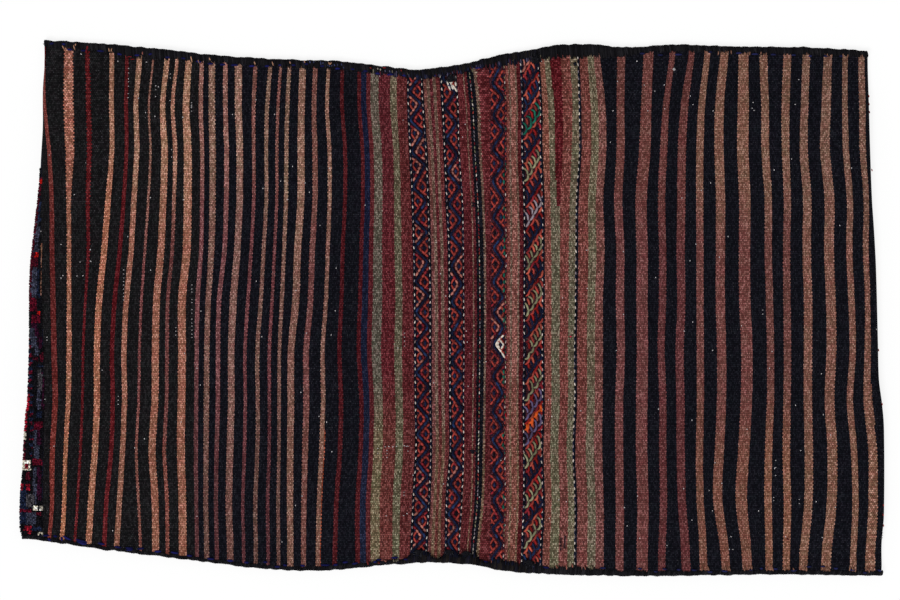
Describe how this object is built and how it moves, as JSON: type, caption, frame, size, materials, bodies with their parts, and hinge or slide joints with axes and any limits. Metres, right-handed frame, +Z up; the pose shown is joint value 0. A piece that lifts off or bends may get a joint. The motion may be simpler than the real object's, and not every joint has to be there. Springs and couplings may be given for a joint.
{
  "type": "double saddle bag",
  "caption": "Woven wool double saddle bag lying flat with its striped back up: pouches joined by a bridge, with knotted-pile fronts below.",
  "frame": {"origin": "on the ground below the middle of the bag's box, as it lies flat with its striped back upward", "axes": "+X along the strip from one pouch's fold to the other's, +Y across it, +Z up out of the striped back"},
  "size_m": [1.0752, 0.6654, 0.023],
  "materials": {
    "striped_wool": "matte",
    "overcast_wool": "matte",
    "goat_hair": "matte"
  },
  "bodies": {
    "root": {"woven_strip": "striped_wool", "left_seam_binding_near": "overcast_wool", "left_seam_binding_far": "overcast_wool", "bridge_binding_near": "overcast_wool", "bridge_binding_far": "overcast_wool", "right_seam_binding_near": "overcast_wool", "right_seam_binding_far": "overcast_wool", "hair_knot_1": "goat_hair", "hair_knot_2": "goat_hair", "hair_knot_3": "goat_hair", "hair_knot_4": "goat_hair", "hair_knot_5": "goat_hair", "hair_knot_6": "goat_hair"}
  },
  "joints": []
}
